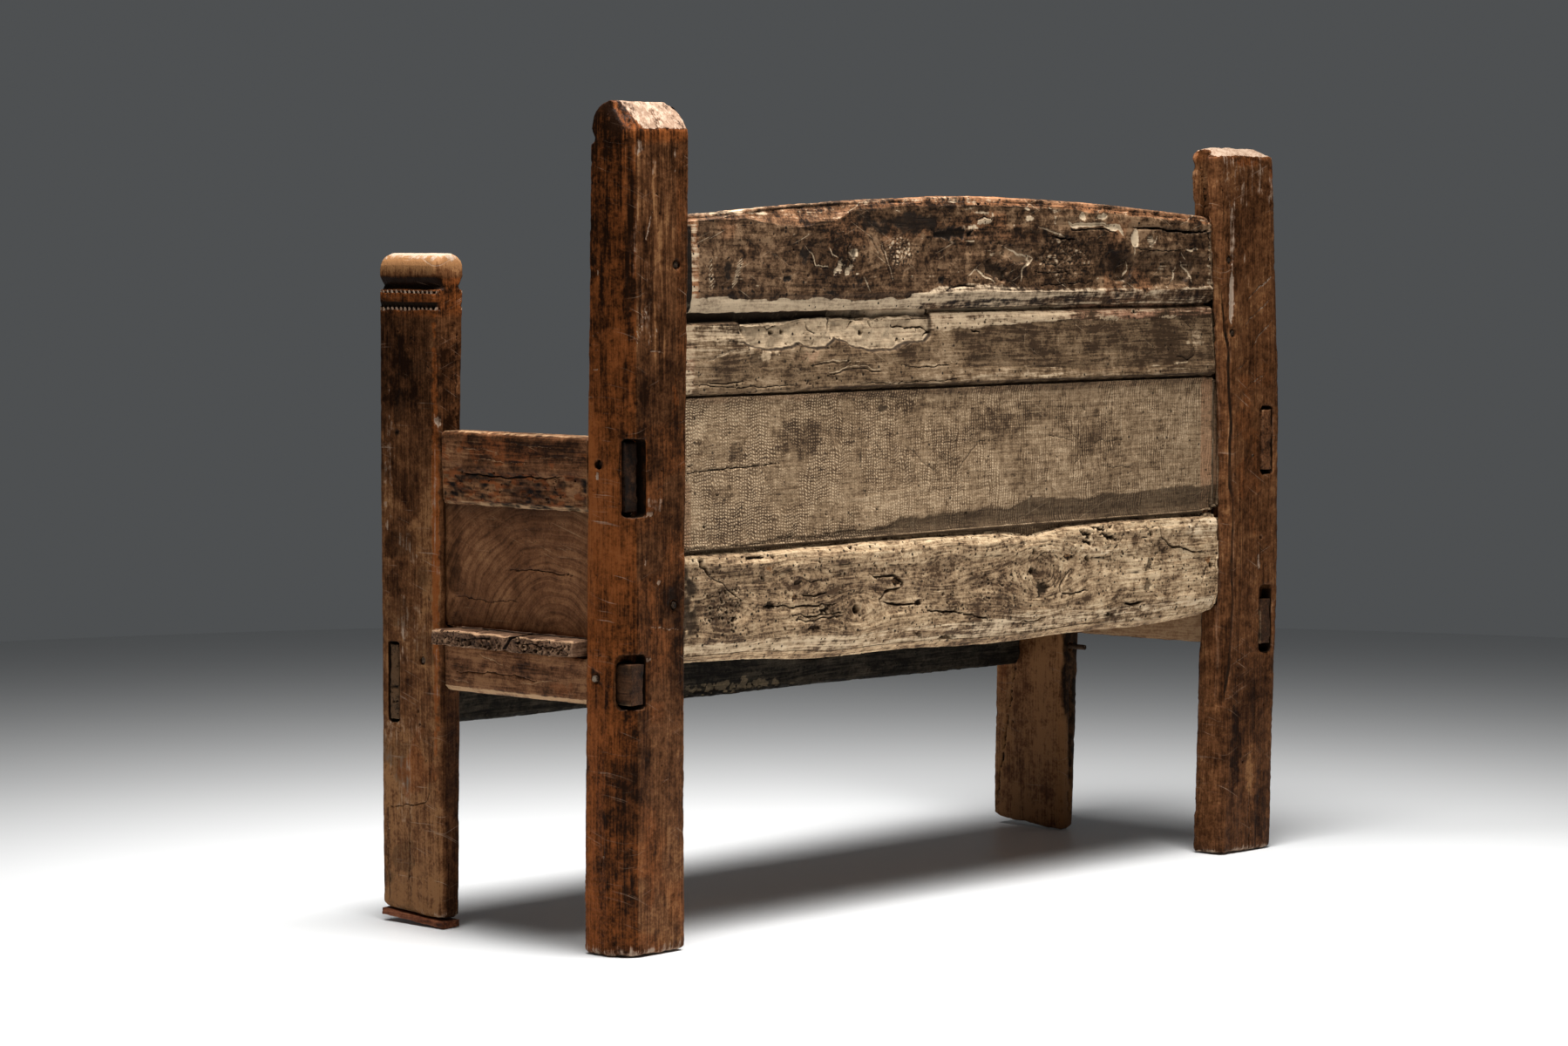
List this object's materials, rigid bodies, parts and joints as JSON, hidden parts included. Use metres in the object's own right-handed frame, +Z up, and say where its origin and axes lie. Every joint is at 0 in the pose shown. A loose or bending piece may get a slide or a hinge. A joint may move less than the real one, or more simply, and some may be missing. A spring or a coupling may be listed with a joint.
{
  "type": "bench",
  "caption": "Rustic wooden bench with hewn posts, a tall back of stacked boards, arm rails over side panels and a plank seat, held by pegged mortise and tenon joints.",
  "frame": {"origin": "middle of the bench's footprint, on the floor", "axes": "+X along the length to the right end, +Y to the back, +Z up; a sitter faces -Y"},
  "size_m": [1.524, 0.517, 1.176],
  "materials": {
    "waxed_post": "red-brown, waxed and worn",
    "waxed_rail": "dark brown, waxed",
    "worn_seat": "grey-brown, dry",
    "crest": "grey-brown, scraped",
    "dry_board": "tan, dry and sawn",
    "live_edge": "pale tan, dry and wormed",
    "dark_rail": "dark grey-brown, raw",
    "fresh_shim": "red-brown, sawn",
    "peg": "dark brown, whittled"
  },
  "bodies": {
    "root": {"rear_post_right": "waxed_post", "rear_post_left": "waxed_post", "front_post_right": "waxed_post", "front_post_left": "waxed_post", "foot_shim": "fresh_shim", "arm_rail_right": "waxed_rail", "arm_rail_left": "waxed_rail", "side_panel_right": "waxed_rail", "side_panel_left": "waxed_rail", "seat_rail_right": "waxed_rail", "seat_rail_left": "waxed_rail", "front_seat_rail": "dark_rail", "seat_plank_front": "worn_seat", "seat_plank_rear": "worn_seat", "crest_rail": "crest", "upper_back_rail": "dry_board", "back_panel": "dry_board", "lower_back_rail": "live_edge", "crest_peg_right": "peg", "crest_peg_left": "peg", "upper_back_rail_peg_left": "peg", "lower_back_rail_peg_right": "peg", "lower_back_rail_peg_left": "peg", "arm_rail_peg_right": "peg", "arm_rail_peg_left": "peg", "seat_rail_rear_peg_right": "peg", "seat_rail_rear_peg_left": "peg", "seat_rail_front_peg_right": "peg", "seat_rail_front_peg_left": "peg", "front_rail_peg_right": "peg", "front_rail_peg_left": "peg"}
  },
  "joints": []
}
